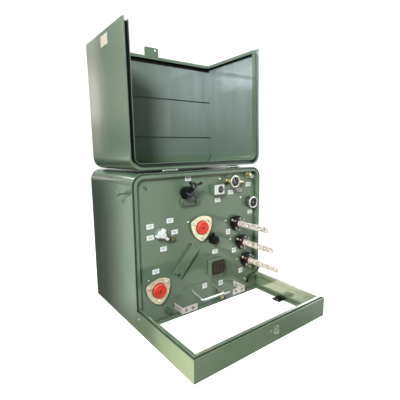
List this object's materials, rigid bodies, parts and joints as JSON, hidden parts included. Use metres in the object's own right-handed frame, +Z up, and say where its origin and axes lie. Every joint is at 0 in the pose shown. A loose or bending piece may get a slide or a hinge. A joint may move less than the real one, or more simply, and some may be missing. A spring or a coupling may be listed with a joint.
{
  "type": "pad-mounted transformer",
  "caption": "Low green steel transformer cabinet for a ground pad, with a flip-up hood standing open over a terminal plate of bushings, gauges and switches",
  "frame": {"origin": "centre of the footprint of tank and sill, on the pad", "axes": "+X to the right when facing the terminal plate, -Y out of the compartment towards the user, +Z up"},
  "size_m": [0.984, 1.061, 1.5248],
  "materials": {
    "green_paint": "semi-gloss sprayed paint",
    "yellow_zinc": "yellow chromate zinc plate",
    "bright_zinc": "bright zinc plate",
    "tinned_copper": "tin plate over copper",
    "brass": "turned brass",
    "black_moulding": "moulded resin",
    "brown_moulding": "moulded resin",
    "red_cap": "soft moulded plastic",
    "white_moulding": "moulded plastic",
    "gauge_case": "satin steel",
    "dial_face": "printed disc",
    "lens": "clear",
    "needle": "white enamel",
    "label": "blank printed film",
    "nameplate_metal": "dark anodised plate",
    "black_rubber": "cable jacket",
    "black_steel": "black enamel",
    "core_steel": "laminated silicon steel",
    "winding_paper": "paper-covered aluminium strip"
  },
  "bodies": {
    "tank": {"tank_wrap": "green_paint", "tank_back_panel": "green_paint", "tank_floor": "green_paint", "front_plate": "green_paint", "front_lip_frame": "green_paint", "sill_frame": "green_paint", "tie_down_cleats": "black_steel", "lifting_lugs": "green_paint", "tank_hinge_leaves": "green_paint", "hinge_pins": "bright_zinc", "latch_fitting": "bright_zinc", "hv_bushing_wells": "brown_moulding", "hv_clamp_plates": "yellow_zinc", "clamp_studs": "bright_zinc", "fuse_housing": "black_moulding", "drip_tray": "green_paint", "lv_insulators": "brown_moulding", "lv_clamp_plates": "black_steel", "lv_spades": "tinned_copper", "pressure_gauge": "brass", "level_gauge": "gauge_case", "thermometer": "white_moulding", "gauge_dials": "dial_face", "gauge_lenses": "lens", "relief_valve": "brass", "drain_valve": "brass", "tap_changer": "black_moulding", "load_switch": "black_moulding", "nameplate_box": "green_paint", "nameplate": "nameplate_metal", "parking_stand": "green_paint", "ground_rod": "bright_zinc", "ground_bars": "tinned_copper", "ground_strap": "black_rubber", "plate_studs": "bright_zinc", "label_plates": "label", "core_loops": "core_steel", "core_clamps": "black_steel", "lv_winding": "winding_paper", "hv_winding": "winding_paper", "winding_leads": "black_rubber"},
    "hood": {"hood_wrap": "green_paint", "hood_front_panel": "green_paint", "hood_rim_lip": "green_paint", "hood_base_flange": "green_paint", "hood_ribs": "green_paint", "hood_hasp": "green_paint", "hood_hinge_leaves": "green_paint"},
    "security_bolt": {"security_bolt": "bright_zinc"},
    "fuse_holder": {"fuse_holder": "black_moulding"},
    "hv_cap_upper": {"hv_cap_upper": "red_cap"},
    "hv_cap_lower": {"hv_cap_lower": "red_cap"},
    "tap_handle": {"tap_handle": "white_moulding"},
    "tap_lock": {"tap_lock": "green_paint"},
    "switch_knob": {"switch_knob": "black_moulding"},
    "pressure_needle": {"pressure_needle": "needle"},
    "level_needle": {"level_needle": "needle"},
    "temperature_needle": {"temperature_needle": "needle"},
    "relief_ring": {"relief_ring": "bright_zinc"},
    "drain_handle": {"drain_handle": "bright_zinc"}
  },
  "joints": [
    {"name": "hood_swing", "type": "hinge", "parent": "tank", "child": "hood", "pos_m": [0, -0.033, 0.7925], "axis": [-1, 0, 0], "range_deg": [-181.3, 0]},
    {"name": "security_bolt_turn", "type": "hinge", "parent": "tank", "child": "security_bolt", "pos_m": [0.003, -0.52, 0.065], "axis": [0, -1, 0], "continuous": true},
    {"name": "fuse_draw", "type": "slide", "parent": "tank", "child": "fuse_holder", "axis": [0, -0.9397, 0.342], "range_m": [0, 0.28]},
    {"name": "upper_cap_pull", "type": "slide", "parent": "tank", "child": "hv_cap_upper", "axis": [0, -1, 0], "range_m": [0, 0.12]},
    {"name": "lower_cap_pull", "type": "slide", "parent": "tank", "child": "hv_cap_lower", "axis": [0, -1, 0], "range_m": [0, 0.12]},
    {"name": "tap_select", "type": "hinge", "parent": "tank", "child": "tap_handle", "pos_m": [-0.276, -0.019, 0.468], "axis": [0, 1, 0], "range_deg": [-144, 144]},
    {"name": "tap_lock_pull", "type": "slide", "parent": "tank", "child": "tap_lock", "axis": [0, -1, 0], "range_m": [0, 0.005]},
    {"name": "switch_turn", "type": "hinge", "parent": "tank", "child": "switch_knob", "pos_m": [0.062, -0.019, 0.384], "axis": [0, 1, 0], "range_deg": [0, 90]},
    {"name": "pressure_needle_turn", "type": "hinge", "parent": "tank", "child": "pressure_needle", "pos_m": [0.19, -0.019, 0.71], "axis": [0, 1, 0], "range_deg": [-115, 155]},
    {"name": "level_needle_turn", "type": "hinge", "parent": "tank", "child": "level_needle", "pos_m": [0.364, -0.019, 0.569], "axis": [0, 1, 0], "range_deg": [-15, 165]},
    {"name": "temperature_needle_turn", "type": "hinge", "parent": "tank", "child": "temperature_needle", "pos_m": [0.1, -0.019, 0.671], "axis": [0, 1, 0], "range_deg": [-35, 235]},
    {"name": "relief_pull", "type": "slide", "parent": "tank", "child": "relief_ring", "axis": [0, -1, 0], "range_m": [0, 0.006]},
    {"name": "drain_turn", "type": "hinge", "parent": "tank", "child": "drain_handle", "pos_m": [0.112, -0.019, 0.052], "axis": [0, 1, 0], "range_deg": [-90, 0]}
  ]
}
